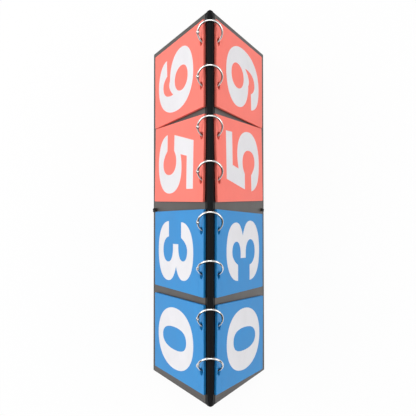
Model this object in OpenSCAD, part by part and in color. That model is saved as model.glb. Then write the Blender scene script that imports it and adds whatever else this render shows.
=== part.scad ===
// Tabletop flip scoreboard: two hinged boards stand as an A-frame, and four decks of
// number leaves hang on each side from eight split rings that pass through both boards.
// Millimetres. X runs along the ridge, front is -Y, Z is up, and the boards stand on Z = 0.

/* [Boards] */
// Length of the boards along the ridge
board_length = 385; // [380:1:420]
// Height of the point where the two outer faces would meet
peak_height = 166; // [164:1:190]
// Lean of each board from the vertical, in degrees
lean = 22; // [20:0.5:24]
// Thickness of one covered board
board_t = 2.2; // [1.8:0.1:2.3]
// Thickness of the black skin round the board
skin_t = 0.3; // [0.2:0.05:0.4]
// Radius of the rounded ridge
ridge_r = 2.5; // [2.4:0.1:3]

/* [Leaves] */
// Width of one number leaf along the ridge
leaf_width = 86.5; // [80:0.5:88]
// Length of one number leaf down the board
leaf_length = 154; // [135:1:154]
// Distance from one deck to the next
deck_pitch = 94; // [94:0.5:97]
// Leaves behind the top card on each side
leaf_count = 5; // [2:1:5]
// Thickness of one leaf
leaf_t = 0.4; // [0.3:0.05:0.4]
// Thickness of the top card
card_t = 0.45; // [0.3:0.05:0.45]
// Radius of the round corners of a leaf
leaf_corner = 1.6; // [0.5:0.1:3]
// How far the leaves in each front deck have swung on their rings, in degrees
front_swing = [-2, -0.6, 2.7, 0.1]; // [-2.5:0.1:2.8]
// The same for the rear decks
rear_swing = [-0.4, 0.4, 2.4, -0.2]; // [-1:0.1:2.5]

/* [Rings] */
// Radius of a ring to the middle of its wire
ring_r = 12; // [11.8:0.1:12.2]
// Thickness of the ring wire
wire_d = 2.2; // [1.8:0.1:2.2]
// Distance between the two rings of a deck
ring_pitch = 44; // [40:1:60]
// How far each ring has fallen over, in degrees from upright
ring_lean = [44, 55, 42, 56, 55, 56, 54, 56]; // [30:1:56]
// Radius of the punched holes in the leaves
leaf_hole_r = 4; // [4:0.1:4.3]
// Radius of the holes in the boards
board_hole_r = 3.4; // [3.4:0.1:4.2]

/* [Base cord] */
// Thickness of the elastic cord that stops the boards from spreading
cord_d = 2.8; // [2:0.1:3]
// Height of the cord above the table
cord_height = 8; // [6:1:20]

/* [Hidden] */
$fn = 48;
REAR = 1;
FRONT = -1;
decks = [1, 2, 3, 4];
rings = [1, 2, 3, 4, 5, 6, 7, 8];
gap = 0.04;                               // glue line between glued layers
eps = 1;                                  // how far a cutter runs past a face
// The boards: distances run down the slope from the peak, and n is measured outwards from the outer face
ridge_s = ridge_r / tan(lean);            // where the rounded ridge meets the flat outer face
ridge_z = peak_height - ridge_r / sin(lean);
board_top_s = ridge_s + 1.2;
strip_t = 0.7;                            // two skins glued together over the ridge
leaf_top_s = 9.5;
deck_shift = 1.3;                         // the decks hang this far along from the middle of the boards
ring_shift = 1.6;                         // the rings have slid this far along from the middle of their deck
hole_s = 16;                              // middle of the punched holes, down the slope
hole_x = 0.3;                             // punched holes are this far along from the middle of the leaf
board_hole_s = 16.3;
board_hole_x = -1.5;                      // holes in the boards are this far along from the feet of the rings
fold_s = 23;                              // where a card bends as it is lifted
fold_gap = 0.15;
stack_n = 0.2;                            // back of the rearmost leaf
leaf_step = leaf_t + 0.05;
card_n = stack_n + leaf_count * leaf_step + 0.05;
card_top_n = card_n + card_t;
fan = 0.25;                               // each leaf hangs this much lower than the one in front of it
// The rings: each stands in a plane across the ridge, and leans about a line through its feet
foot_s = 16;
foot_y = foot_s * sin(lean) + card_top_n * cos(lean);
foot_z = peak_height - foot_s * cos(lean) + card_top_n * sin(lean);
ring_rise = sqrt(ring_r * ring_r - foot_y * foot_y);
knuckle_r = 1.75;
knuckle_t = 1.15;
pin_r = 0.55;
pin_head_r = 1.05;
pin_head_t = 0.35;
split = 0.05;                             // half of the gap between the two halves of a ring
clasp_angle = 5;                          // how far the tongue of the clasp reaches
// The cord
cord_x = 2;
knot_r = 2.4;

black = "#1b1b1d";
core_grey = "#8d8a84";
red = "#f7786c";
blue = "#2f86c8";
steel = "#c9cbd0";

// Distance down the slope at height z, for a point n outside the outer face
function slope_at(z, n) = (peak_height - z + n * sin(lean)) / cos(lean);
function deck_x(k) = (k - 2.5) * deck_pitch + deck_shift;
function ring_x(k) = deck_x(ceil(k / 2)) + ring_shift + (k % 2 == 1 ? -1 : 1) * ring_pitch / 2;
function deck_colour(k) = k <= 2 ? blue : red;
function swing(side, k) = (side == REAR ? rear_swing : front_swing)[k - 1];

// Puts a shape drawn as x, distance down the slope, distance outwards on to one board
module on_board(side) {
    if (side == REAR)
        translate([0, 0, peak_height]) rotate([lean - 90, 0, 0]) children();
    else
        mirror([0, 1, 0]) translate([0, 0, peak_height]) rotate([lean - 90, 0, 0]) children();
}

// A section drawn as distance down the slope and distance outwards, drawn out along the ridge
module along_ridge(length) {
    translate([-length / 2, 0, 0]) rotate([90, 0, 90]) linear_extrude(length) children();
}

// Section of a layer of the board between two depths, cut level at height z
module board_section(top_s, outer_n, inner_n, z) {
    polygon([[top_s, outer_n], [slope_at(z, outer_n), outer_n],
             [slope_at(z, inner_n), inner_n], [top_s, inner_n]]);
}

// Holes through a board for the eight rings and the cord
module board_holes() {
    for (k = rings)
        translate([ring_x(k) + board_hole_x, board_hole_s, -board_t - eps])
            cylinder(r = board_hole_r, h = board_t + 2 * eps);
    translate([cord_x, slope_at(cord_height, 0), 0]) rotate([-lean, 0, 0])
        translate([0, 0, -2 * board_t]) cylinder(r = cord_d / 2 + 0.15, h = 4 * board_t);
}

// Outer skin, turned in round the bottom and the two ends of the board
module board_cover(side) {
    color(black) on_board(side) difference() {
        along_ridge(board_length) board_section(board_top_s, 0, -board_t, 0);
        along_ridge(board_length - 2 * skin_t)
            board_section(board_top_s - eps, -skin_t, -board_t - eps, skin_t);
        board_holes();
    }
}

// Grey board inside the skin
module board_core(side) {
    color(core_grey) on_board(side) difference() {
        along_ridge(board_length - 2 * skin_t - 2 * gap)
            board_section(board_top_s, -skin_t - gap, -board_t + skin_t + gap, skin_t + 2 * gap);
        board_holes();
    }
}

// Inner skin that closes the back of the board
module board_lining(side) {
    color(black) on_board(side) difference() {
        along_ridge(board_length - 2 * skin_t - 2 * gap)
            board_section(board_top_s, -board_t + skin_t, -board_t, skin_t + 2 * gap);
        board_holes();
    }
}

// Rounded strip of skin over the ridge, about which both boards fold
module ridge_strip() {
    color(black) translate([-board_length / 2, 0, ridge_z]) rotate([90, 0, 90]) difference() {
        cylinder(r = ridge_r, h = board_length);
        translate([0, 0, -eps]) cylinder(r = ridge_r - strip_t, h = board_length + 2 * eps);
        translate([-2 * ridge_r, -4 * ridge_r, -eps])
            cube([4 * ridge_r, 4 * ridge_r, board_length + 2 * eps]);
    }
}

// Outline of a leaf from its top edge, or of a part of it between two distances down the slope
module leaf_outline(from_s, to_s, round_bottom) {
    half = leaf_width / 2;
    r = round_bottom ? leaf_corner : 0;
    corner = [for (a = [0 : 15 : 90]) r * [1 - cos(a), 1 - sin(a)]];
    polygon(concat([[-half, from_s], [half, from_s]],
                   [for (p = corner) [half - p[0], to_s - p[1]]],
                   [for (i = [len(corner) - 1 : -1 : 0]) [corner[i][0] - half, to_s - corner[i][1]]]));
}

// Turns a leaf a little about the middle of its two holes, as it hangs on the rings
module hang(side, k) {
    turn = swing(side, k);
    on_board(side) translate([deck_x(k), hole_s, 0]) rotate([0, 0, -turn])
        translate([0, -hole_s, 0]) children();
}

module leaf_holes() {
    for (end = [-1, 1])
        translate([end * ring_pitch / 2 + hole_x, hole_s, -eps])
            cylinder(r = leaf_hole_r, h = 2 * leaf_step + 2 * eps);
}

// Leaves behind the top card
module leaves(side, k) {
    color(deck_colour(k)) hang(side, k)
        for (i = [0 : leaf_count - 1])
            translate([0, 0, stack_n + i * leaf_step]) difference() {
                linear_extrude(leaf_t)
                    leaf_outline(leaf_top_s + (leaf_count - i) * fan,
                                 leaf_top_s + leaf_length + (leaf_count - i) * fan, true);
                leaf_holes();
            }
}

// Punched strip at the top of the front card, which stays on the rings
module header(side, k) {
    color(deck_colour(k)) hang(side, k) translate([0, 0, card_n]) difference() {
        linear_extrude(card_t) leaf_outline(leaf_top_s, fold_s - fold_gap / 2, false);
        leaf_holes();
    }
}

// Number panel of the front card, which lifts about the fold
module card(side, k) {
    color(deck_colour(k)) hang(side, k) translate([0, 0, card_n])
        linear_extrude(card_t) leaf_outline(fold_s + fold_gap / 2, leaf_top_s + leaf_length, true);
}

// Places a shape drawn in a ring's own plane, with its middle at the origin
module on_ring(k) {
    translate([ring_x(k), 0, foot_z]) rotate([0, ring_lean[k - 1], 0])
        translate([0, 0, ring_rise]) rotate([90, 0, 90]) children();
}

// Round wire from one angle to another
module wire(from, to) {
    rotate([0, 0, from]) rotate_extrude(angle = to - from) translate([ring_r, 0]) circle(d = wire_d);
}

// Half a ring, from the tongue of its clasp round to its knuckle at angle 0. Knuckle and
// tongue are half as thick as the wire, so that two of these halves lap at both ends.
module half_ring() {
    reach = 2 * wire_d;
    difference() {
        union() {
            wire(181 - clasp_angle, 356);
            translate([ring_r, 0, -split - knuckle_t]) cylinder(r = knuckle_r, h = knuckle_t);
        }
        rotate([0, 0, 180 + clasp_angle]) translate([ring_r - wire_d, -reach, -split])
            cube([2 * wire_d, reach, wire_d]);
        translate([ring_r, 0, -split]) cylinder(r = knuckle_r + 0.35, h = wire_d);
        translate([ring_r, 0, -wire_d]) cylinder(r = pin_r + 0.05, h = 2 * wire_d);
    }
}

module ring_lower_half(k) { color(steel) on_ring(k) half_ring(); }

module ring_upper_half(k) { color(steel) on_ring(k) rotate([180, 0, 0]) half_ring(); }

// Rivet that the two halves of a ring turn on
module ring_pin(k) {
    head_z = knuckle_t + split + 0.03;
    color(steel) on_ring(k) translate([ring_r, 0, 0]) {
        translate([0, 0, -head_z - pin_head_t / 2]) cylinder(r = pin_r, h = 2 * head_z + pin_head_t);
        for (end = [-1, 1])
            translate([0, 0, end > 0 ? head_z : -head_z - pin_head_t])
                cylinder(r = pin_head_r, h = pin_head_t);
    }
}

// Elastic cord drawn tight between the two boards
module base_cord() {
    s = slope_at(cord_height, 0);
    half = s * sin(lean) + cord_d;
    color(black) difference() {
        translate([cord_x, -half, cord_height]) rotate([-90, 0, 0]) cylinder(d = cord_d, h = 2 * half);
        for (side = [FRONT, REAR])
            on_board(side) translate([cord_x - cord_d, s - 3 * cord_d, 0])
                cube([2 * cord_d, 6 * cord_d, 3 * cord_d]);
    }
}

// Knot that holds the cord on the outside of a board
module cord_knot(side) {
    s = slope_at(cord_height, 0);
    color(black) on_board(side) translate([cord_x, s, 0]) difference() {
        translate([0, 0, 0.5 * knot_r]) sphere(r = knot_r);
        translate([-2 * knot_r, -2 * knot_r, 0.05 - 4 * knot_r]) cube(4 * knot_r);
    }
}

ridge_strip();
board_cover(FRONT);  // front_cover
board_core(FRONT);  // front_core
board_lining(FRONT);  // front_lining
board_cover(REAR);  // rear_cover
board_core(REAR);  // rear_core
board_lining(REAR);  // rear_lining
base_cord();
cord_knot(FRONT);  // front_cord_knot
cord_knot(REAR);  // rear_cord_knot
for (k = decks) {
    leaves(FRONT, k);
    leaves(REAR, k);
    header(FRONT, k);
    header(REAR, k);
    card(FRONT, k);
    card(REAR, k);
}
for (k = rings) {
    ring_lower_half(k);
    ring_upper_half(k);
    ring_pin(k);
}
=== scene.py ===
import math
import random

import bpy
from mathutils import Matrix, Vector


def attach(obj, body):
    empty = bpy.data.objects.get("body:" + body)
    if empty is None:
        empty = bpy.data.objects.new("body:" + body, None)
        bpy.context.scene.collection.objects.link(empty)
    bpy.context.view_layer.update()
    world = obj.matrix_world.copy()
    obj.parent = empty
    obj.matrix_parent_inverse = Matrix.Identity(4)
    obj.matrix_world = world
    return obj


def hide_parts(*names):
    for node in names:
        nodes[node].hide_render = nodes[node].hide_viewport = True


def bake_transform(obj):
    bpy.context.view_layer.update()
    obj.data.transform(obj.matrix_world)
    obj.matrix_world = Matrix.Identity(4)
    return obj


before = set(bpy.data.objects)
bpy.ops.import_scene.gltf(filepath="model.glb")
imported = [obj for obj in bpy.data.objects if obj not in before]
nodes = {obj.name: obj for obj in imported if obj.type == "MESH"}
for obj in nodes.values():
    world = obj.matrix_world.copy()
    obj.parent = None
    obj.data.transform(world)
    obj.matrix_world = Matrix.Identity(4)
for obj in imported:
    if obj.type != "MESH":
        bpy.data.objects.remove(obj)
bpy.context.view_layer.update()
random.seed(7)
mm = 0.001

board = {
    "length": 385 * mm,
    "peakHeight": 166 * mm,      # where the two outer faces would meet
    "lean": math.radians(22),    # from the vertical
    "thickness": 2.2 * mm,
    "ridgeRadius": 2.5 * mm,
}
leaf = {
    "width": 86.5 * mm,
    "length": 154 * mm,
    "top": 10.3 * mm,            # all of these are distances down the slope from the peak
    "holes": 16 * mm,
    "fold": 23 * mm,
    "foldGap": 0.15 * mm,
    "holeRadius": 4 * mm,
    "holeShift": 0.3 * mm,
    "pitch": 94 * mm,
    "deckShift": 1.3 * mm,       # the row of decks sits a little towards +X, and the rings a little more
    "ringShift": 1.6 * mm,
    "ringPitch": 44 * mm,
    "corner": 1.6 * mm,
    "sharpCorner": 0.05 * mm,
    "thickness": 0.4 * mm,
    "step": 0.45 * mm,
    "count": 5,
    "back": 0.2 * mm,            # from the board to the hindmost leaf
    "cardGap": 0.05 * mm,
    "cardThickness": 0.45 * mm,
    "fan": 0.25 * mm,
    "slip": 0.25 * mm,           # how far single leaves are out of line, and how far turned
    "turn": math.radians(0.12),
    "frontSwing": [-2, -0.6, 2.7, 0.1],      # degrees, for each deck
    "rearSwing": [-0.4, 0.4, 2.4, -0.2],
}
cardBack = leaf["back"] + leaf["count"] * leaf["step"] + leaf["cardGap"]
cardFace = cardBack + leaf["cardThickness"]


def boardMatrix(side):
    # columns: along the ridge, down the slope, outwards from the board
    tilt = board["lean"]
    turn = -1 if side == "front" else 1
    down = Vector((0, turn * math.sin(tilt), -math.cos(tilt)))
    out = Vector((0, turn * math.cos(tilt), math.sin(tilt)))
    place = Matrix.Identity(4)
    place.col[0] = (1, 0, 0, 0)
    place.col[1] = (*down, 0)
    place.col[2] = (*out, 0)
    place.col[3] = (0, 0, board["peakHeight"], 1)
    return place


def deckPlace(deck):
    return (deck - 2.5) * leaf["pitch"] + leaf["deckShift"]


def hangMatrix(side, deck):
    # a leaf swings a little about the middle of its two holes
    swing = math.radians(leaf[side + "Swing"][deck - 1])
    middle = Matrix.Translation((deckPlace(deck), leaf["holes"], 0))
    return (boardMatrix(side) @ middle @ Matrix.Rotation(-swing, 4, "Z")
            @ Matrix.Translation((0, -leaf["holes"], 0)))


# Camera and light

camera = {
    "place": (-21.2 * mm, 7.0 * mm, 793.9 * mm),
    "tilt": math.radians(-1.80),  # the picture's top is +X, and it leans a little that way
    "roll": math.radians(-0.44),
    "yaw": math.radians(-0.04),
    "focalPixels": 649.8,
    "pixels": 416,
    "sensor": 36,
}


def addCamera():
    data = bpy.data.cameras.new("viewer")
    data.sensor_width = camera["sensor"]
    data.lens = camera["focalPixels"] / camera["pixels"] * camera["sensor"]
    data.clip_start = 0.01
    viewer = bpy.data.objects.new("viewer", data)
    bpy.context.scene.collection.objects.link(viewer)
    right, up, back = Vector((0, -1, 0)), Vector((1, 0, 0)), Vector((0, 0, 1))
    straightDown = Matrix((right, up, back)).transposed()
    aim = (Matrix.Rotation(camera["yaw"], 3, "Z") @ Matrix.Rotation(camera["tilt"], 3, "Y")
           @ Matrix.Rotation(camera["roll"], 3, "X"))
    viewer.matrix_world = Matrix.Translation(camera["place"]) @ (aim @ straightDown).to_4x4()
    bpy.context.scene.camera = viewer


addCamera()


def addLamp(name, place, size, power, aim=(0, 0, 0.08)):
    bpy.ops.object.light_add(type="AREA", location=place)
    lamp = bpy.context.object
    lamp.name = name
    lamp.data.shape = "RECTANGLE"
    lamp.data.size, lamp.data.size_y = size
    lamp.data.energy = power
    lamp.rotation_euler = (Vector(aim) - Vector(place)).to_track_quat("-Z", "Y").to_euler()


lamps = {
    "rearSoftbox": dict(place=(0.1, 1.3, 1.1), size=(1.6, 0.9), power=17),
    "frontSoftbox": dict(place=(0.0, -1.3, 1.0), size=(1.6, 0.9), power=11),
    "overhead": dict(place=(0.5, 0.1, 1.6), size=(0.9, 0.9), power=7),
}
for name, facts in lamps.items():
    addLamp(name, **facts)
bpy.context.scene.view_settings.view_transform = "Standard"
print("camera and lamps are in place")


# Materials

class Sock:
    # wraps one output of a node tree, so that maths on it reads as maths
    def __init__(self, tree, socket):
        self.tree, self.socket = tree, socket

    def node(self, kind, settings=None, inputs=None, output=0):
        made = self.tree.nodes.new(kind)
        for key, value in (settings or {}).items():
            setattr(made, key, value)
        for key, value in (inputs or {}).items():
            if isinstance(value, Sock):
                self.tree.links.new(value.socket, made.inputs[key])
            else:
                made.inputs[key].default_value = value
        return Sock(self.tree, made.outputs[output])

    def maths(self, operation, *values):
        return self.node("ShaderNodeMath", {"operation": operation}, dict(enumerate(values)))

    def __add__(self, other): return self.maths("ADD", self, other)
    def __radd__(self, other): return self.maths("ADD", other, self)
    def __sub__(self, other): return self.maths("SUBTRACT", self, other)
    def __rsub__(self, other): return self.maths("SUBTRACT", other, self)
    def __mul__(self, other): return self.maths("MULTIPLY", self, other)
    def __rmul__(self, other): return self.maths("MULTIPLY", other, self)
    def clamp(self): return self.maths("MINIMUM", self.maths("MAXIMUM", self, 0.0), 1.0)

    def blend(self, low, high):
        # a colour between two, by this amount; a mix node's colours are its inputs 6 and 7 and its output 2
        return self.node("ShaderNodeMix", {"data_type": "RGBA"}, {0: self, 6: (*low, 1), 7: (*high, 1)}, 2)


def startMaterial(name):
    material = bpy.data.materials.new(name)
    material.use_nodes = True
    tree = material.node_tree
    tree.nodes.clear()
    return material, Sock(tree, None)


def finishMaterial(material, maker, inputs, bump=None):
    # bump is (height, strength, distance in metres)
    if bump:
        height, strength, distance = bump
        inputs["Normal"] = maker.node("ShaderNodeBump", None, {
            "Height": height, "Strength": strength, "Distance": distance})
    shader = maker.node("ShaderNodeBsdfPrincipled", None, inputs)
    output = maker.tree.nodes.new("ShaderNodeOutputMaterial")
    maker.tree.links.new(shader.socket, output.inputs["Surface"])
    return material


def noise(maker, place, scale, detail=2.0, roughness=0.5):
    return maker.node("ShaderNodeTexNoise", None, {
        "Vector": place, "Scale": scale, "Detail": detail, "Roughness": roughness})


def objectPlace(maker):
    return maker.node("ShaderNodeTexCoord", None, None, "Object")


def stretched(maker, place, scale):
    return maker.node("ShaderNodeMapping", {"vector_type": "POINT"}, {"Vector": place, "Scale": scale})


# Scales are per metre, depths are those of the relief, and scuffs reach up to scuffHeight
texture = {
    "vinylGrain": 1500.0, "vinylWrinkle": 420.0, "vinylCloud": 28.0, "vinylDepth": 0.12 * mm,
    "scuffScale": 220.0, "scuffHeight": 4 * mm,
    "cardMottle": 34.0, "cardSpeck": 900.0, "cardWave": 9.0, "cardDepth": 0.06 * mm,
    "wireHaze": 190.0, "wireLines": 1600.0, "wireDepth": 0.02 * mm,
    "weave": 260.0, "weaveDepth": 0.3 * mm,
    "fibre": 700.0, "fibreDepth": 0.1 * mm,
}


def makeVinyl(name, gloss, dark, shine):
    # black plastic skin with a fine leather grain, scuffed where it meets the table
    material, maker = startMaterial(name)
    place = objectPlace(maker)
    split = maker.node("ShaderNodeSeparateXYZ", None, {"Vector": place}, "Z")
    worn = (noise(maker, place, texture["scuffScale"], 4.0) * 2.2 - 0.6).clamp()
    scuff = ((texture["scuffHeight"] - split) * 300).clamp() * worn
    cloud = noise(maker, place, texture["vinylCloud"], 3.0)
    colour = (cloud * 0.8 + scuff * 0.6).clamp().blend(dark, [c * 1.7 + 0.006 for c in dark])
    grain = maker.node("ShaderNodeTexVoronoi", {"feature": "SMOOTH_F1"}, {
        "Vector": place, "Scale": texture["vinylGrain"], "Smoothness": 0.5})
    wrinkle = noise(maker, stretched(maker, place, (0.15, 1.0, 1.0)), texture["vinylWrinkle"], 3.0)
    return finishMaterial(material, maker, {
        "Base Color": colour, "Roughness": (cloud * 0.16 + scuff * 0.2 + gloss).clamp(),
        "IOR": 1.5, "Specular IOR Level": shine},
        bump=(grain * 0.7 + wrinkle * 0.5, 0.35, texture["vinylDepth"]))


def makeCardPlastic(name, colour, pale, rough):
    # printed plastic sheet: faint mottling of the ink and a fine matt texture
    material, maker = startMaterial(name)
    place = objectPlace(maker)
    mottle = noise(maker, place, texture["cardMottle"], 4.0, 0.6)
    speck = noise(maker, place, texture["cardSpeck"], 2.0)
    tone = (mottle * 0.75 + speck * 0.25).clamp()
    shade = tone.blend([c * 0.93 for c in colour], [min(1, c * 1.05 + 0.01) for c in pale])
    return finishMaterial(material, maker, {
        "Base Color": shade, "Roughness": (mottle * 0.14 + rough).clamp(),
        "IOR": 1.48, "Specular IOR Level": 0.22},
        bump=(speck + noise(maker, place, texture["cardWave"], 1.0) * 4.0, 0.25, texture["cardDepth"]))


def makeMetal(name):
    # bright nickel plate with fine drawing lines along the wire and a little handling haze
    material, maker = startMaterial(name)
    place = objectPlace(maker)
    haze = noise(maker, place, texture["wireHaze"], 3.0)
    lines = noise(maker, place, texture["wireLines"], 2.0)
    return finishMaterial(material, maker, {
        "Base Color": haze.blend((0.66, 0.65, 0.63), (0.86, 0.86, 0.85)), "Metallic": 1.0,
        "Roughness": (haze * 0.10 + 0.08).clamp()}, bump=(lines, 0.10, texture["wireDepth"]))


def makeFabricCord(name):
    material, maker = startMaterial(name)
    place = objectPlace(maker)
    wave = {"wave_type": "BANDS", "bands_direction": "DIAGONAL", "wave_profile": "SIN"}
    strands = []
    for lean in ((1.0, 1.0, 1.0), (1.0, -1.0, 1.0)):
        strands.append(maker.node("ShaderNodeTexWave", wave, {
            "Vector": stretched(maker, place, lean), "Scale": texture["weave"], "Distortion": 0.6}, 1))
    weave = strands[0] * strands[1]
    return finishMaterial(material, maker, {
        "Base Color": weave.blend((0.006, 0.006, 0.007), (0.03, 0.03, 0.032)),
        "Roughness": 0.75, "Sheen Weight": 0.3}, bump=(weave, 0.8, texture["weaveDepth"]))


def makeGreyBoard(name):
    material, maker = startMaterial(name)
    place = objectPlace(maker)
    fibre = noise(maker, stretched(maker, place, (0.3, 1.0, 1.0)), texture["fibre"], 5.0)
    return finishMaterial(material, maker, {
        "Base Color": fibre.blend((0.20, 0.19, 0.17), (0.36, 0.35, 0.32)), "Roughness": 0.9},
        bump=(fibre, 0.4, texture["fibreDepth"]))


finishes = {
    "vinyl": makeVinyl("blackVinyl", 0.30, (0.022, 0.015, 0.010), 0.45),
    "ridgeVinyl": makeVinyl("ridgeVinyl", 0.40, (0.0015, 0.0015, 0.002), 0.07),
    # the welts and lines pressed near the board edges are painted near-black as shade, for the dark look of the
    # steep edges and the grooves
    "paintedShadeSeam": makeVinyl("pressedVinylPaintedShade", 0.22, (0.004, 0.004, 0.004), 0.30),
    "red": makeCardPlastic("redCard", (0.93, 0.160, 0.118), (0.95, 0.195, 0.150), 0.40),
    "blue": makeCardPlastic("blueCard", (0.007, 0.212, 0.54), (0.016, 0.262, 0.615), 0.40),
    "redEdge": makeCardPlastic("redCardEdge", (0.95, 0.48, 0.44), (0.97, 0.66, 0.62), 0.5),
    "blueEdge": makeCardPlastic("blueCardEdge", (0.20, 0.50, 0.82), (0.40, 0.66, 0.92), 0.5),
    "white": makeCardPlastic("whiteInk", (0.71, 0.70, 0.72), (0.77, 0.76, 0.79), 0.4),
    "nickel": makeMetal("ringNickel"),
    "cord": makeFabricCord("elasticCord"),
    "greyBoard": makeGreyBoard("greyBoard"),
}


def paint(thing, *names):
    thing.data.materials.clear()
    for name in names:
        thing.data.materials.append(finishes[name])


def nodeFinish(name):
    if name.startswith("ring_"):
        return "nickel"
    if "cord" in name:
        return "cord"
    if name.endswith("core"):
        return "greyBoard"
    if name == "ridge_strip":
        return "ridgeVinyl"
    if any(word in name for word in ("leaves", "header", "card")):
        return "blue" if name[-1] in "12" else "red"
    return "vinyl"


for name, thing in nodes.items():
    paint(thing, nodeFinish(name))
print("materials are made for", len(nodes), "nodes")


# Leaves and number cards

def deselectAll():
    if bpy.context.object and bpy.context.object.mode != "OBJECT":
        bpy.ops.object.mode_set(mode="OBJECT")
    bpy.ops.object.select_all(action="DESELECT")


def pick(thing):
    deselectAll()
    thing.select_set(True)
    bpy.context.view_layer.objects.active = thing


def toMesh(thing):
    pick(thing)
    bpy.ops.object.convert(target="MESH")
    return bpy.context.object


def modify(thing, kind, **facts):
    # puts a modifier on the active thing and applies it
    bpy.ops.object.modifier_add(type=kind)
    modifier = thing.modifiers[-1]
    for key, value in facts.items():
        setattr(modifier, key, value)
    bpy.ops.object.modifier_apply(modifier=modifier.name)


def tidyMesh(thing, weld=None, smooth=None):
    # joins points that meet, turns faces outwards, and smooths up to an angle in degrees
    pick(thing)
    bpy.ops.object.mode_set(mode="EDIT")
    bpy.ops.mesh.select_all(action="SELECT")
    if weld:
        bpy.ops.mesh.remove_doubles(threshold=weld)
    bpy.ops.mesh.normals_make_consistent(inside=False)
    bpy.ops.object.mode_set(mode="OBJECT")
    if smooth:
        bpy.ops.object.shade_smooth_by_angle(angle=math.radians(smooth))


def flatCurve(name, outlines, thickness, bevel=0.0):
    # outlines are closed lines of corners (x, y) or rounded points (x, y, inX, inY, outX, outY)
    data = bpy.data.curves.new(name, "CURVE")
    data.dimensions = "2D"
    data.fill_mode = "BOTH"
    data.extrude = thickness / 2 - bevel
    data.bevel_depth = bevel
    data.bevel_resolution = 1
    data.offset = -bevel
    data.resolution_u = 14
    for outline in outlines:
        line = data.splines.new("BEZIER")
        line.use_cyclic_u = True
        line.bezier_points.add(len(outline) - 1)
        for point, knot in zip(line.bezier_points, outline):
            x, y = knot[:2]
            point.co = (x, y, 0)
            point.handle_left_type = point.handle_right_type = "FREE"
            if len(knot) == 2:
                point.handle_left = point.handle_right = (x, y, 0)
            else:
                point.handle_left = (x + knot[2], y + knot[3], 0)
                point.handle_right = (x + knot[4], y + knot[5], 0)
    thing = bpy.data.objects.new(name, data)
    bpy.context.scene.collection.objects.link(thing)
    return toMesh(thing)


roundness = 0.5523   # handle length that makes a quarter circle


def circleOutline(x, y, radius):
    k = radius * roundness
    return [(x + radius, y, 0, k, 0, -k), (x, y - radius, k, 0, -k, 0),
            (x - radius, y, 0, -k, 0, k), (x, y + radius, -k, 0, k, 0)]


def slopeOutline(half, top, bottom, radius):
    # a rectangle with rounded lower corners; y runs up in the curve, so distances down the slope are negative
    k = radius - radius * (1 - roundness)
    return [(-half, -top), (half, -top),
            (half, -bottom + radius, 0, 0, 0, -k), (half - radius, -bottom, k, 0, 0, 0),
            (-half + radius, -bottom, 0, 0, -k, 0), (-half, -bottom + radius, 0, -k, 0, 0)]


def holeOutlines():
    return [circleOutline(end * leaf["ringPitch"] / 2 + leaf["holeShift"], -leaf["holes"], leaf["holeRadius"])
            for end in (-1, 1)]


def makeSheet(name, top, bottom, rounded, holes, thickness):
    radius = leaf["corner"] if rounded else leaf["sharpCorner"]
    outlines = [slopeOutline(leaf["width"] / 2, top, bottom, radius)] + (holeOutlines() if holes else [])
    sheet = flatCurve(name, outlines, thickness)
    flip = Matrix.Scale(-1, 4, (0, 1, 0)) @ Matrix.Scale(-1, 4, (0, 0, 1))
    sheet.data.transform(flip)   # y now runs down the slope
    for face in sheet.data.polygons:
        face.material_index = 0 if abs(face.normal.z) > 0.5 else 1
    return sheet


def joinPieces(name, pieces):
    deselectAll()
    for piece in pieces:
        piece.select_set(True)
    bpy.context.view_layer.objects.active = pieces[0]
    if len(pieces) > 1:
        bpy.ops.object.join()
    joined = bpy.context.object
    joined.name = name
    joined.data.name = name
    return joined


def finishSheet(sheet, side, deck, body, replaced):
    sheet.data.transform(hangMatrix(side, deck))
    if side == "front":          # the front board's frame is left-handed, so its faces turn over
        sheet.data.flip_normals()
    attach(sheet, body)
    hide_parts(replaced)


def makeLeaves(side, deck):
    colour = "blue" if deck <= 2 else "red"
    pieces = []
    for i in range(leaf["count"]):
        drop = (leaf["count"] - i) * leaf["fan"]   # each leaf hangs lower than the one in front of it
        top = leaf["top"] + drop
        sheet = makeSheet(f"leaf{i}", top, top + leaf["length"], True, True, leaf["thickness"])
        lift = leaf["back"] + i * leaf["step"] + leaf["thickness"] / 2
        slip = random.uniform(-leaf["slip"], leaf["slip"])
        turn = Matrix.Rotation(random.uniform(-leaf["turn"], leaf["turn"]), 4, "Z")
        sheet.data.transform(Matrix.Translation((slip, leaf["holes"], lift)) @ turn
                             @ Matrix.Translation((0, -leaf["holes"], 0)))
        paint(sheet, colour, colour + "Edge")
        pieces.append(sheet)
    stack = joinPieces(f"{side}Leaves{deck}", pieces)
    finishSheet(stack, side, deck, side + "_board", f"{side}_leaves_{deck}")


def makeCard(side, deck):
    colour = "blue" if deck <= 2 else "red"
    middle = Matrix.Translation((0, 0, cardBack + leaf["cardThickness"] / 2))
    header = makeSheet(f"{side}Header{deck}", leaf["top"], leaf["fold"] - leaf["foldGap"] / 2,
                       False, True, leaf["cardThickness"])
    panel = makeSheet(f"{side}Card{deck}", leaf["fold"] + leaf["foldGap"] / 2, leaf["top"] + leaf["length"],
                      True, False, leaf["cardThickness"])
    for sheet, body, node in ((header, side + "_board", "header"), (panel, f"{side}_card_{deck}", "card")):
        sheet.data.transform(middle)
        paint(sheet, colour, colour + "Edge")
        finishSheet(sheet, side, deck, body, f"{side}_{node}_{deck}")


for side in ("front", "rear"):
    for deck in (1, 2, 3, 4):
        makeLeaves(side, deck)
        makeCard(side, deck)
print("leaves and cards are made")


# Rings, each made of two equal halves that lap at the rivet and at the clasp

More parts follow.
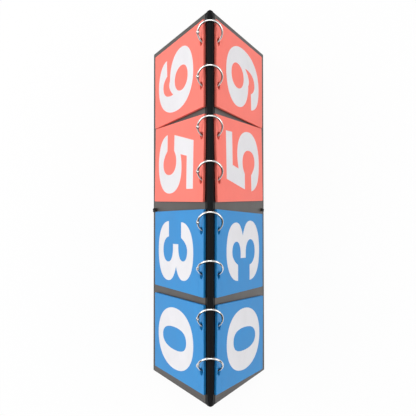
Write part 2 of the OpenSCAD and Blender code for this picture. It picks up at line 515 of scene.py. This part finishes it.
ring = {
    "radius": 12 * mm,
    "wire": 2.2 * mm,
    "lean": [44, 55, 42, 56, 55, 56, 54, 56],
    "footSlope": 16 * mm,        # down the slope to the line that a ring leans about
    "knuckleRadius": 1.75 * mm,
    "knuckleThickness": 1.15 * mm,
    "knuckleBevel": 0.12 * mm,
    "knucklePlay": 0.35 * mm,    # room for the other half's knuckle
    "split": 0.05 * mm,
    "claspAngle": 5,
    "overlap": 4,                # degrees that each half runs past the middle of the ring
    "boreRadius": 0.6 * mm,
    "wireSides": 20,
    "turnSteps": 56,
    "discSides": 40,
    "rivetSteps": 28,
    "smooth": 38,
    "profile": [(0, 1.58), (0.5, 1.55), (0.86, 1.44), (1.05, 1.23), (0.55, 1.23)],   # half of the rivet
}
footY = ring["footSlope"] * math.sin(board["lean"]) + cardFace * math.cos(board["lean"])
footZ = board["peakHeight"] - ring["footSlope"] * math.cos(board["lean"]) + cardFace * math.sin(board["lean"])
ringRise = math.sqrt(ring["radius"] ** 2 - footY ** 2)


def cut(thing, tool, operation="DIFFERENCE"):
    pick(thing)
    modify(thing, "BOOLEAN", operation=operation, solver="EXACT", object=tool)
    bpy.data.objects.remove(tool)


def addDisc(radius, low, high, bevel=0.0):
    # a round disc at the rivet's place, between two heights
    bpy.ops.mesh.primitive_cylinder_add(vertices=ring["discSides"], radius=radius, depth=high - low,
                                        location=(ring["radius"], 0, (low + high) / 2))
    disc = bpy.context.object
    bpy.ops.object.transform_apply(location=True, rotation=True, scale=True)
    if bevel:
        modify(disc, "BEVEL", width=bevel, segments=3)
    return disc


def makeHalfRing():
    deselectAll()
    start = math.radians(-ring["overlap"])
    place = (ring["radius"] * math.cos(start), ring["radius"] * math.sin(start), 0)
    bpy.ops.mesh.primitive_circle_add(vertices=ring["wireSides"], radius=ring["wire"] / 2, fill_type="NGON",
                                      location=place, rotation=(math.pi / 2, 0, start))
    half = bpy.context.object
    half.name = "halfRing"
    bpy.ops.object.transform_apply(location=True, rotation=True, scale=True)
    bpy.ops.object.mode_set(mode="EDIT")
    bpy.ops.mesh.select_all(action="SELECT")
    # with no window, a positive angle spins clockwise
    bpy.ops.mesh.spin(steps=ring["turnSteps"], angle=math.pi, center=(0, 0, 0), axis=(0, 0, 1))
    bpy.ops.object.mode_set(mode="OBJECT")
    tidyMesh(half)
    split, thick = ring["split"], ring["knuckleThickness"]
    cut(half, addDisc(ring["knuckleRadius"], -split - thick, -split, ring["knuckleBevel"]), "UNION")
    deselectAll()
    bpy.ops.mesh.primitive_cube_add(size=1)
    box = bpy.context.object
    reach = 2 * ring["wire"]
    box.data.transform(Matrix.Rotation(math.radians(180 + ring["claspAngle"]), 4, "Z")
                       @ Matrix.Translation((ring["radius"], -reach / 2, ring["wire"] / 2 - split))
                       @ Matrix.Diagonal((reach, reach, ring["wire"], 1)))
    cut(half, box)
    cut(half, addDisc(ring["knuckleRadius"] + ring["knucklePlay"], -split, ring["wire"]))
    cut(half, addDisc(ring["boreRadius"], -ring["wire"], ring["wire"]))
    pick(half)
    bpy.ops.object.shade_smooth_by_angle(angle=math.radians(ring["smooth"]))
    return half


def makeRivet():
    profile = [(x * mm, z * mm) for x, z in ring["profile"]]
    points = profile + [(x, -z) for x, z in reversed(profile)]
    data = bpy.data.meshes.new("rivet")
    data.from_pydata([(x, 0, z) for x, z in points], [(i, i + 1) for i in range(len(points) - 1)], [])
    rivet = bpy.data.objects.new("rivet", data)
    bpy.context.scene.collection.objects.link(rivet)
    pick(rivet)
    bpy.ops.object.mode_set(mode="EDIT")
    bpy.ops.mesh.select_all(action="SELECT")
    bpy.ops.mesh.spin(steps=ring["rivetSteps"], angle=2 * math.pi, center=(0, 0, 0), axis=(0, 0, 1))
    bpy.ops.object.mode_set(mode="OBJECT")
    tidyMesh(rivet, weld=0.01 * mm, smooth=ring["smooth"])
    rivet.data.transform(Matrix.Translation((ring["radius"], 0, 0)))
    return rivet


def ringMatrix(number):
    deck = (number + 1) // 2
    x = deckPlace(deck) + leaf["ringShift"] + (-0.5 if number % 2 else 0.5) * leaf["ringPitch"]
    # this turns the ring's plane to stand across the ridge
    across = Matrix(((0, 0, 1, 0), (1, 0, 0, 0), (0, 1, 0, 0), (0, 0, 0, 1)))
    return (Matrix.Translation((x, 0, footZ)) @ Matrix.Rotation(math.radians(ring["lean"][number - 1]), 4, "Y")
            @ Matrix.Translation((0, 0, ringRise)) @ across)


def copyPiece(master, name, place):
    piece = bpy.data.objects.new(name, master.data.copy())
    piece.data.name = name
    bpy.context.scene.collection.objects.link(piece)
    piece.data.transform(place)
    paint(piece, "nickel")
    return piece


halfRing, rivet = makeHalfRing(), makeRivet()
overturn = Matrix.Rotation(math.pi, 4, "X")
for number in range(1, 9):
    place = ringMatrix(number)
    for part, master, turn, body in (("lower_half", halfRing, Matrix.Identity(4), f"ring_{number}"),
                                     ("upper_half", halfRing, overturn, f"ring_{number}_gate"),
                                     ("pin", rivet, Matrix.Identity(4), f"ring_{number}")):
        piece = copyPiece(master, f"ring{number}_{part}", place @ turn)
        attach(piece, body)
        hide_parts(f"ring_{number}_{part}")
bpy.data.objects.remove(halfRing)
bpy.data.objects.remove(rivet)
print("rings are threaded")

# Numbers, each drawn in a box 67 wide and 115 tall, from its own corners and curves.
# A point is x and y from the box's lower left, and then its two handles, from the point itself.

numerals = {
    "drawnSize": (67, 115),
    "width": 66.5 * mm,
    "height": 112 * mm,
    "top": 38 * mm,               # down the slope, to the top of the numeral
    "ink": 0.03 * mm,
    "shift": 1.0 * mm,            # the numerals sit a little to the right on the card
    "decks": {1: "zero", 2: "three", 3: "five", 4: "nine"},
    "zero": [
        [(0, 57.5, 0, -33, 0, 33), (33.5, 115, -21, 0, 21, 0), (67, 57.5, 0, 33, 0, -33),
         (33.5, 0, 21, 0, -21, 0)],
        [(21, 57.5, 0, 25, 0, -25), (33.5, 16.5, -8.5, 0, 8.5, 0), (46, 57.5, 0, -25, 0, 25),
         (33.5, 94, 8.5, 0, -8.5, 0)],
    ],
    "three": [
        [(1.5, 78), (18.5, 78), (32, 97, -8.5, 0, 7.5, 0), (43.5, 83, 0, 8, 0, -8.5),
         (30.5, 69, 7.5, 0.5, 0, 0), (25.5, 69), (25.5, 51.5), (31, 51.5, 0, 0, 9, 0),
         (46, 34.5, 0, 9.5, 0, -10.5), (32.5, 17.5, 8, 0, -8.5, 0), (17.5, 37, 0.5, -10.5, 0, 0),
         (0, 37, 0, 0, 0.5, -24), (33, 0, -20.5, 0, 21, 0), (67, 34, 0, -21, 0, 13),
         (50, 61.5, 11.5, -5.5, 9, 5), (64, 83, 0, -9.5, 0, 20), (33, 115, 19.5, 0, -19.5, 0),
         (1.5, 78, 0, 20, 0, 0)],
    ],
    "five": [
        [(12.5, 115), (62.5, 115), (62.5, 95.5), (27.5, 95.5), (24.5, 75.5), (39.5, 79.5, -8.5, 0, 17, 0),
         (67, 39.5, 0, 25, 0, -25), (33, 0, 20, 0, -20, 0), (0, 31, 2, -21, 0, 0), (18.5, 31),
         (33, 17, -7.5, 0, 9, 0), (46, 39.5, 0, -12.5, 0, 12.5), (32, 62, 8.5, 0, -6, 0),
         (19.5, 54.5, 4, 5, 0, 0), (2, 55)],
    ],
    "nine": [
        [(3.5, 29.5), (22, 30.5), (33, 16.5, -7.5, 0, 10.5, 0), (47, 51, 0.5, -19, 0, 0), (46.5, 51),
         (29.5, 40.5, 7.5, -9.5, -17.5, 0), (0, 78, 0, -22, 0, 21.5), (33, 115, -20, 0, 21, 0),
         (67, 62, 0, 30, 0, -38), (32.5, 0, 21, 0, -18.5, 0), (3.5, 29.5, 2, -18, 0, 0)],
        [(33.5, 57, 8, 0, -8, 0), (20, 78.5, 0, -12, 0, 11.5), (33.5, 98.5, -8, 0, 8, 0),
         (47, 78.5, 0, 11.5, 0, -12)],
    ],
}


def makeNumeral(side, deck):
    shape = numerals[numerals["decks"][deck]]
    drawnWidth, drawnHeight = numerals["drawnSize"]
    # x and y, for the point and for its two handles
    scales = (numerals["width"] / drawnWidth, numerals["height"] / drawnHeight) * 3
    outlines = [[tuple(value * scale for value, scale in zip(point, scales)) for point in outline]
                for outline in shape]
    number = flatCurve(f"{side}Number{deck}", outlines, numerals["ink"])
    readsBackwards = 1 if side == "front" else -1   # seen from the rear, x runs right to left
    number.data.transform(Matrix.Translation(
        (numerals["shift"] - numerals["width"] / 2, -numerals["height"] - numerals["top"], 0)))
    toSlope = Matrix.Scale(-1, 4, (0, 1, 0)) @ Matrix.Scale(readsBackwards, 4, (1, 0, 0))
    number.data.transform(toSlope)
    number.data.transform(Matrix.Translation((0, 0, cardFace + numerals["ink"] / 2)))
    number.data.transform(hangMatrix(side, deck))
    tidyMesh(number, weld=0.001 * mm)
    paint(number, "white")
    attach(number, f"{side}_card_{deck}")


for side in ("front", "rear"):
    for deck in (1, 2, 3, 4):
        makeNumeral(side, deck)
print("numbers are printed on the cards")


# Ridge: a rounded spine of vinyl, and on each board a flat band of the same and lines pressed near its edges,
# which are painted near-black as shade

ridge = {
    "skin": 0.7 * mm,
    "spineEnd": 0.05 * mm,       # how far the spine stops short of the board's ends
    "pinchLength": 8 * mm,       # the two skins come together in a point over each end
    "pinchRise": 5.1 * mm,
    "bandTop": 7.5 * mm,         # down the slope
    "bandBottom": 12.7 * mm,
    "bandThickness": 0.12 * mm,
    "bandWave": 0.12 * mm,
    "bandEnd": 0.2 * mm,         # and the band
    "bandLift": 0.01 * mm,
    "bandBevel": 0.04 * mm,
    "creaseDepth": 0.05 * mm,
    # inset, width and height of the welt along the edge and of the line inside it
    "seams": [(0.15 * mm, 1.15 * mm, 0.1 * mm), (3.2 * mm, 0.7 * mm, 0.08 * mm)],
    "seamDrop": 0.3 * mm,        # their upper run is under the band, clear of the ring holes
    "seamCorners": (1.2 * mm, 0.8 * mm),     # outer and inner radius of a line at the very edge
    "smooth": 40,
}
ridgeAxis = board["peakHeight"] - board["ridgeRadius"] / math.sin(board["lean"])


def smoothStep(value):
    value = max(0.0, min(1.0, value))
    return value * value * (3 - 2 * value)


def makeRidge():
    deselectAll()
    bpy.ops.mesh.primitive_grid_add(x_subdivisions=240, y_subdivisions=28, size=1)
    spine = bpy.context.object
    spine.name = "ridgeSpine"
    for point in spine.data.vertices:
        x, turn = point.co.x * (board["length"] - 2 * ridge["spineEnd"]), (point.co.y + 0.5) * math.pi
        # long shallow creases that wander along the spine, none of them outside its round
        wander = math.sin(turn * 7 + 1.3 * math.sin(x * 31)) ** 4 + 0.6 * math.sin(turn * 11 + x * 45) ** 6
        radius = board["ridgeRadius"] - ridge["creaseDepth"] * wander * math.sin(turn)
        pinch = smoothStep((abs(x) - board["length"] / 2 + ridge["pinchLength"]) / ridge["pinchLength"])
        across, rise = radius * math.cos(turn), radius * math.sin(turn)
        pointed = ridge["pinchRise"] * (1 - abs(math.cos(turn)) ** 1.15)
        point.co = (x, across, ridgeAxis + rise * (1 - pinch) + pointed * pinch)
    modify(spine, "SOLIDIFY", thickness=ridge["skin"], offset=-1, use_even_offset=False)
    tidyMesh(spine, smooth=ridge["smooth"])
    paint(spine, "ridgeVinyl")
    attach(spine, "ridge")
    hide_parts("ridge_strip")


def dressBoard(piece, side, finish):
    # lays a flat piece on the slope of its board
    piece.data.transform(boardMatrix(side))
    tidyMesh(piece, smooth=ridge["smooth"])
    paint(piece, finish)
    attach(piece, side + "_board")


def makeBand(side):
    deselectAll()
    bpy.ops.mesh.primitive_grid_add(x_subdivisions=160, y_subdivisions=8, size=1)
    band = bpy.context.object
    band.name = side + "Band"
    for point in band.data.vertices:
        along, across = point.co.x, point.co.y + 0.5
        wave = ridge["bandWave"] * math.sin(along * 61) * math.sin(along * 23 + 1)
        x = along * (board["length"] - 2 * ridge["bandEnd"])
        depth = ridge["bandBottom"] - ridge["bandTop"] + wave
        point.co = (x, ridge["bandTop"] + across * depth, ridge["bandLift"])
    modify(band, "SOLIDIFY", thickness=ridge["bandThickness"], offset=1)
    modify(band, "BEVEL", width=ridge["bandBevel"])
    dressBoard(band, side, "ridgeVinyl")


def makeSeams(side, face):
    # the welt and the line inside it, on the outer or the inner face of a board; their near-black colour is
    # painted shade for the steep edge and the groove
    thickness = board["thickness"]
    end = board["peakHeight"] / math.cos(board["lean"])
    if face == "Inner":
        end -= thickness * math.tan(board["lean"])
    half, top = board["length"] / 2, ridge["bandTop"] + ridge["seamDrop"]
    for number, (inset, wide, high) in enumerate(ridge["seams"], 1):
        outerRadius, innerRadius = (radius + inset * 0.4 for radius in ridge["seamCorners"])
        outer = slopeOutline(half - inset, top, end - inset, outerRadius)
        inner = slopeOutline(half - inset - wide, top + wide, end - inset - wide, innerRadius)
        paintedShadeSeam = flatCurve(f"{side}{face}Seam{number}", [outer, inner], high, high * 0.3)
        paintedShadeSeam.data.transform(Matrix.Scale(-1, 4, (0, 1, 0)))
        level = high / 2 if face == "Outer" else -thickness - high / 2
        paintedShadeSeam.data.transform(Matrix.Translation((0, 0, level)))
        dressBoard(paintedShadeSeam, side, "paintedShadeSeam")


makeRidge()
for side in ("front", "rear"):
    makeBand(side)
    makeSeams(side, "Outer")
    makeSeams(side, "Inner")
print("ridge, bands and seams are made")


# Elastic cord between the boards, with a knot outside each

cord = {
    "place": 2 * mm,             # along the ridge
    "height": 8 * mm,
    "diameter": 2.7 * mm,
    "strand": {"front": 0.95 * mm, "rear": 1.2 * mm},        # radius of the cord in each knot
    "knotScale": {"front": 0.44 * mm, "rear": 0.58 * mm},
    "knotGap": 1.25,             # in knot scales, from the board's face to the middle of the windings
    "knotDepth": 1.1,            # in knot scales, how far the windings stand in and out
    "knotSlip": 1.0 * mm,        # the knots hang a little towards -X
    "sag": 0.25 * mm,
    "pathSteps": 64,
    "knotSteps": 96,
}
cordReach = (board["peakHeight"] - cord["height"]) * math.tan(board["lean"])


def tube(name, points, radius, closed):
    data = bpy.data.curves.new(name, "CURVE")
    data.dimensions = "3D"
    data.bevel_depth = radius
    data.bevel_resolution = 5
    data.use_fill_caps = not closed
    line = data.splines.new("POLY")
    line.points.add(len(points) - 1)
    for point, place in zip(line.points, points):
        point.co = (*place, 1)
    line.use_cyclic_u = closed
    thing = bpy.data.objects.new(name, data)
    bpy.context.scene.collection.objects.link(thing)
    thing = toMesh(thing)
    tidyMesh(thing, weld=0.001 * mm, smooth=50)
    paint(thing, "cord")
    return thing


def makeCord():
    points = []
    for i in range(cord["pathSteps"] + 1):
        along = i / cord["pathSteps"] * 2 - 1
        points.append((cord["place"], along * cordReach, cord["height"] - cord["sag"] * (1 - along * along)))
    line = tube("baseCord", points, cord["diameter"] / 2, False)
    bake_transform(line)
    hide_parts("base_cord")


def makeKnot(side):
    # an overhand knot pulled tight, which shows three lobes from outside
    turn = -1 if side == "front" else 1
    strand, size = cord["strand"][side], cord["knotScale"][side]
    middle = cordReach + strand + cord["knotGap"] * size
    points = []
    for i in range(cord["knotSteps"]):
        t = i / cord["knotSteps"] * 2 * math.pi
        across = (math.sin(t) + 2 * math.sin(2 * t)) * size
        up = (math.cos(t) - 2 * math.cos(2 * t)) * size
        out = -math.sin(3 * t) * size * cord["knotDepth"]
        points.append((cord["place"] - cord["knotSlip"] + across, turn * (middle + out), cord["height"] + up))
    knot = tube(side + "Knot", points, strand, True)
    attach(knot, side + "_board")
    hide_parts(side + "_cord_knot")


makeCord()
for side in ("front", "rear"):
    makeKnot(side)
print("the cord is knotted")


# Floor and surroundings

studio = {
    "floorSize": 8,
    "floorTone": (0.82, 0.82, 0.82, 1),
    "white": (1, 1, 1, 1),
    "floorGlow": 0.92,           # how much of the floor's own white the camera sees, the rest is lit and shaded
    "ambient": 0.45,
    "darkWalls": 0.06,
}


def makeFloor():
    bpy.ops.mesh.primitive_plane_add(size=studio["floorSize"], location=(0, 0, 0))
    floor = bpy.context.object
    floor.name = "floor"
    material, maker = startMaterial("paleFloor")
    path = maker.tree.nodes.new("ShaderNodeLightPath")
    looked, mirrored, through = (Sock(maker.tree, path.outputs[f"Is {ray} Ray"])
                                 for ray in ("Camera", "Glossy", "Transmission"))
    diffuse = maker.node("ShaderNodeBsdfDiffuse", None, {"Color": studio["floorTone"]})
    glow = maker.node("ShaderNodeEmission", None, {"Color": studio["white"], "Strength": 1.0})
    share = ((looked + mirrored + through) * studio["floorGlow"]).clamp()
    mixed = maker.node("ShaderNodeMixShader", None, {0: share, 1: diffuse, 2: glow})
    output = maker.tree.nodes.new("ShaderNodeOutputMaterial")
    maker.tree.links.new(mixed.socket, output.inputs["Surface"])
    floor.data.materials.append(material)


def makeWorld():
    world = bpy.data.worlds.new("studio")
    bpy.context.scene.world = world
    world.use_nodes = True
    tree = world.node_tree
    tree.nodes.clear()
    maker = Sock(tree, None)
    path = tree.nodes.new("ShaderNodeLightPath")
    direction = maker.node("ShaderNodeTexCoord", None, None, "Generated")
    height = maker.node("ShaderNodeSeparateXYZ", None, {"Vector": direction}, "Z")
    overhead = (height * 2.2 - 0.9).clamp() + studio["darkWalls"]   # polished things see a bright ceiling
    mirrored = Sock(tree, path.outputs["Is Glossy Ray"])
    looked = Sock(tree, path.outputs["Is Camera Ray"])
    strength = looked + (1.0 - looked) * (mirrored * overhead + (1.0 - mirrored) * studio["ambient"])
    back = maker.node("ShaderNodeBackground", None, {"Color": studio["white"], "Strength": strength})
    output = tree.nodes.new("ShaderNodeOutputWorld")
    tree.links.new(back.socket, output.inputs["Surface"])


makeFloor()
makeWorld()
print("floor and surroundings are in place")
